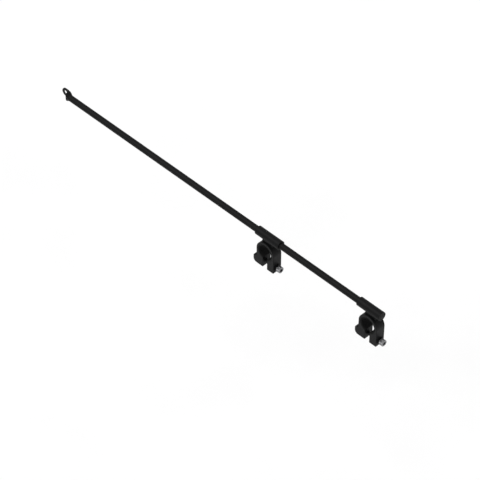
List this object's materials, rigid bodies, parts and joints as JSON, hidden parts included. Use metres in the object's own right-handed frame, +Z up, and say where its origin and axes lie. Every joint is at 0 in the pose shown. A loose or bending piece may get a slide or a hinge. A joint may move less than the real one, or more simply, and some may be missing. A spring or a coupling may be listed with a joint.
{
  "type": "bed cargo bar",
  "caption": "Straight black tube with a flattened eye at one end and slotted clamps on slip-on sleeves that grip round cross tubes.",
  "frame": {"origin": "centre of the near clamp's cross-tube seat", "axes": "+X along the bar from its eye to its clamp end, +Y along the cross tubes, +Z up from the jaws to the bar"},
  "size_m": [1.0901, 0.0285, 0.1016],
  "materials": {
    "powder_coat": "satin black powder coat with a fine orange-peel texture",
    "black_plastic": "matt black moulded plastic",
    "rubber": "matt black rubber",
    "black_oxide": "black-oxide steel",
    "stainless": "bright machined stainless steel",
    "zinc_steel": "zinc-plated steel"
  },
  "bodies": {
    "bar": {"bar_tube": "powder_coat", "end_plug": "black_plastic"},
    "near_clamp": {"near_clamp_body": "powder_coat", "near_sleeve": "powder_coat", "near_liner": "rubber", "near_clamp_nut": "zinc_steel", "near_weld_nut": "powder_coat"},
    "near_washers": {"near_flat_washer": "black_oxide", "near_lock_washer": "black_oxide"},
    "near_screw": {"near_cap_screw": "stainless"},
    "near_set": {"near_set_screw": "zinc_steel"},
    "far_clamp": {"far_clamp_body": "powder_coat", "far_sleeve": "powder_coat", "far_liner": "rubber", "far_clamp_nut": "zinc_steel", "far_weld_nut": "powder_coat"},
    "far_washers": {"far_flat_washer": "black_oxide", "far_lock_washer": "black_oxide"},
    "far_screw": {"far_cap_screw": "stainless"},
    "far_set": {"far_set_screw": "zinc_steel"}
  },
  "joints": [
    {"name": "near_clamp_swivel", "type": "hinge", "parent": "bar", "child": "near_clamp", "pos_m": [0, 0, 0.04], "axis": [1, 0, 0], "continuous": true},
    {"name": "near_screw_travel", "type": "slide", "parent": "near_clamp", "child": "near_washers", "axis": [1, 0, 0], "range_m": [0, 0.006]},
    {"name": "near_screw_turn", "type": "hinge", "parent": "near_washers", "child": "near_screw", "pos_m": [0, 0, -0.0374], "axis": [1, 0, 0], "range_deg": [0, 1441]},
    {"name": "near_set_screw_travel", "type": "slide", "parent": "near_clamp", "child": "near_set", "axis": [0, 0.7071, -0.7071], "range_m": [0, 0.0025]},
    {"name": "far_clamp_slide", "type": "slide", "parent": "bar", "child": "far_clamp", "axis": [1, 0, 0], "range_m": [-0.62, 0.225]},
    {"name": "far_screw_travel", "type": "slide", "parent": "far_clamp", "child": "far_washers", "axis": [1, 0, 0], "range_m": [0, 0.006]},
    {"name": "far_screw_turn", "type": "hinge", "parent": "far_washers", "child": "far_screw", "pos_m": [-0.3233, 0, -0.0374], "axis": [1, 0, 0], "range_deg": [0, 1441]},
    {"name": "far_set_screw_travel", "type": "slide", "parent": "far_clamp", "child": "far_set", "axis": [0, 0.7071, -0.7071], "range_m": [0, 0.0025]}
  ],
  "couplings": [
    {"joint": "near_screw_turn", "follows": "near_screw_travel", "rad_per_m": 4188.8},
    {"joint": "far_screw_turn", "follows": "far_screw_travel", "rad_per_m": 4188.8}
  ]
}
